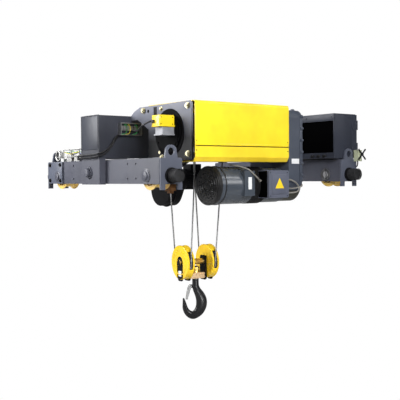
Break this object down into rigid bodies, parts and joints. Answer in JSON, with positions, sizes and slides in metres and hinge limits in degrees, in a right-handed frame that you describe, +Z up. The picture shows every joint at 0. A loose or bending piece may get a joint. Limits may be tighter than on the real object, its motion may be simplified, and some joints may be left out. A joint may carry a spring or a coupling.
{
  "type": "electric wire rope hoist",
  "caption": "Double-rail trolley hoist: covered rope drum, gearbox and motor on a cross beam between two wheeled carriages, with a twin-sheave hook block.",
  "frame": {"origin": "centre of the trolley between its four wheels, on the plane of the rail tops", "axes": "+X along the drum towards the gearbox, +Y to the rear along the rails, +Z up"},
  "size_m": [1.662, 1.44, 1.278],
  "materials": {
    "frame_paint": "satin dark slate, fine texture",
    "plate_paint": "satin dark slate",
    "hoist_frame_paint": "satin grey",
    "buffer_rubber": "matt",
    "bearing_steel": "ground",
    "wheel_paint": "satin ochre, tread worn bright",
    "shaft_steel": "turned",
    "rod_zinc": "zinc plated",
    "yellow_paint": "satin signal yellow",
    "block_yellow": "gloss yellow",
    "drum_steel": "greased",
    "rope_steel": "galvanised wire",
    "black_paint": "satin black",
    "switch_grey": "cast",
    "guide_nylon": "nylon",
    "gearbox_paint": "satin blue grey",
    "gear_steel": "ground",
    "motor_paint": "satin blue black",
    "fan_plastic": "moulded",
    "sheave_iron": "machined",
    "anchor_iron": "brown primer",
    "axle_brass": "yellow passivated",
    "crosshead_bronze": "copper tone",
    "nut_steel": "oiled",
    "hook_black": "forged, black lacquer",
    "latch_zinc": "zinc plated",
    "cabinet_paint": "fine texture",
    "contactor_plastic": "moulded",
    "switch_housing": "moulded",
    "lever_black": "moulded",
    "bracket_zinc": "zinc plated",
    "cable_rubber": "sheath"
  },
  "bodies": {
    "frame": {"left_carriage_beam": "frame_paint", "right_carriage_beam": "frame_paint", "end_plates": "plate_paint", "buffers": "buffer_rubber", "bearings": "bearing_steel", "cross_beam": "frame_paint", "hangers": "frame_paint", "pivot_pins": "bearing_steel", "hoist_side_plates": "hoist_frame_paint", "tie_rods": "rod_zinc", "upper_cover": "yellow_paint", "lower_cover": "yellow_paint", "drum_end_cover": "black_paint", "limit_switch_body": "switch_grey", "limit_switch_cover": "yellow_paint", "gearbox_case": "gearbox_paint", "gearbox_lid": "gearbox_paint", "motor_housing": "motor_paint", "fan_cover": "fan_plastic", "terminal_box": "black_paint", "return_sheave_bracket": "black_paint", "rope_anchor": "anchor_iron", "rope_fall_1": "rope_steel", "rope_fall_2": "rope_steel", "rope_fall_3": "rope_steel", "rope_fall_4": "rope_steel", "travel_gearbox": "black_paint", "travel_motor": "black_paint", "cabinet": "cabinet_paint", "contactors": "contactor_plastic", "travel_limit_switch": "switch_housing", "wiring_bracket": "bracket_zinc", "held_cables": "cable_rubber", "cable_rack": "bracket_zinc"},
    "drum": {"drum": "drum_steel", "drum_rope": "rope_steel", "drum_shaft": "shaft_steel", "output_gear": "gear_steel"},
    "intermediate_gears": {"intermediate_gears": "gear_steel"},
    "motor_rotor": {"motor_rotor": "gear_steel"},
    "rope_guide": {"rope_guide": "guide_nylon"},
    "return_sheave": {"return_sheave": "sheave_iron"},
    "hook_block": {"block_covers": "block_yellow", "block_axle": "axle_brass", "block_cheeks": "black_paint"},
    "left_sheave": {"left_sheave": "sheave_iron"},
    "right_sheave": {"right_sheave": "sheave_iron"},
    "crosshead": {"crosshead": "crosshead_bronze"},
    "hook": {"hook": "hook_black", "hook_nut": "nut_steel"},
    "latch": {"latch": "latch_zinc"},
    "front_left_wheel": {"front_left_wheel": "wheel_paint", "front_left_axle": "shaft_steel"},
    "front_right_wheel": {"front_right_wheel": "wheel_paint", "front_right_axle": "shaft_steel"},
    "drive": {"drive_shaft": "shaft_steel", "rear_left_wheel": "wheel_paint", "rear_right_wheel": "wheel_paint"},
    "cabinet_door": {"cabinet_door": "cabinet_paint"},
    "switch_lever": {"switch_lever": "lever_black"}
  },
  "joints": [
    {"name": "drum_spin", "type": "hinge", "parent": "frame", "child": "drum", "pos_m": [0, -0.469, 0.301], "axis": [1, 0, 0], "range_deg": [0, 400]},
    {"name": "gear_spin", "type": "hinge", "parent": "frame", "child": "intermediate_gears", "pos_m": [0, -0.51655, 0.14614], "axis": [1, 0, 0], "range_deg": [-1315, 10]},
    {"name": "motor_spin", "type": "hinge", "parent": "frame", "child": "motor_rotor", "pos_m": [0, -0.56, 0.00466], "axis": [1, 0, 0], "range_deg": [-10, 4386]},
    {"name": "guide_slide", "type": "slide", "parent": "frame", "child": "rope_guide", "axis": [1, 0, 0], "range_m": [-0.001, 0.01267]},
    {"name": "hook_lift", "type": "slide", "parent": "frame", "child": "hook_block", "axis": [0, 0, 1], "range_m": [0, 0.20034], "deforming": ["rope_fall_1", "rope_fall_2", "rope_fall_3", "rope_fall_4"]},
    {"name": "right_sheave_spin", "type": "hinge", "parent": "hook_block", "child": "right_sheave", "pos_m": [-0.249, -0.25, -0.458], "axis": [0.9925, -0.1219, 0], "range_deg": [-387, 10]},
    {"name": "left_sheave_spin", "type": "hinge", "parent": "hook_block", "child": "left_sheave", "pos_m": [-0.249, -0.25, -0.458], "axis": [0.9925, -0.1219, 0], "range_deg": [-136, 10]},
    {"name": "return_sheave_spin", "type": "hinge", "parent": "frame", "child": "return_sheave", "pos_m": [-0.249, -0.25, 0.25], "axis": [0.848, -0.5299, 0], "range_deg": [-259, 10]},
    {"name": "crosshead_tilt", "type": "hinge", "parent": "hook_block", "child": "crosshead", "pos_m": [-0.249, -0.25, -0.541], "axis": [0.9925, -0.1219, 0], "range_deg": [-12, 12]},
    {"name": "hook_swivel", "type": "hinge", "parent": "crosshead", "child": "hook", "pos_m": [-0.249, -0.25, -0.6], "axis": [0, 0, 1], "continuous": true},
    {"name": "latch_swing", "type": "hinge", "parent": "hook", "child": "latch", "pos_m": [-0.27264, -0.23153, -0.608], "axis": [-0.6157, -0.788, 0], "range_deg": [0, 28], "stiffness_Nm_per_rad": 0.05, "springref_deg": -34.38},
    {"name": "front_left_wheel_spin", "type": "hinge", "parent": "frame", "child": "front_left_wheel", "pos_m": [-0.7, -0.5, 0.063], "axis": [1, 0, 0], "continuous": true},
    {"name": "front_right_wheel_spin", "type": "hinge", "parent": "frame", "child": "front_right_wheel", "pos_m": [0.7, -0.5, 0.063], "axis": [1, 0, 0], "continuous": true},
    {"name": "drive_spin", "type": "hinge", "parent": "frame", "child": "drive", "pos_m": [0, 0.5, 0.063], "axis": [1, 0, 0], "continuous": true},
    {"name": "door_swing", "type": "hinge", "parent": "frame", "child": "cabinet_door", "pos_m": [0.794, -0.621, 0.3], "axis": [0, 0, -1], "range_deg": [0, 105]},
    {"name": "lever_turn", "type": "hinge", "parent": "frame", "child": "switch_lever", "pos_m": [0.762, -0.69, 0.19], "axis": [0, 1, 0], "range_deg": [-90, 90]}
  ],
  "couplings": [
    {"joint": "gear_spin", "follows": "drum_spin", "ratio": -3.2632},
    {"joint": "motor_spin", "follows": "drum_spin", "ratio": 10.941},
    {"joint": "guide_slide", "follows": "drum_spin", "m_per_rad": 0.0016711},
    {"joint": "hook_lift", "follows": "drum_spin", "m_per_rad": 0.028625},
    {"joint": "right_sheave_spin", "follows": "drum_spin", "ratio": -0.94368},
    {"joint": "left_sheave_spin", "follows": "drum_spin", "ratio": -0.31456},
    {"joint": "return_sheave_spin", "follows": "drum_spin", "ratio": -0.62228}
  ]
}
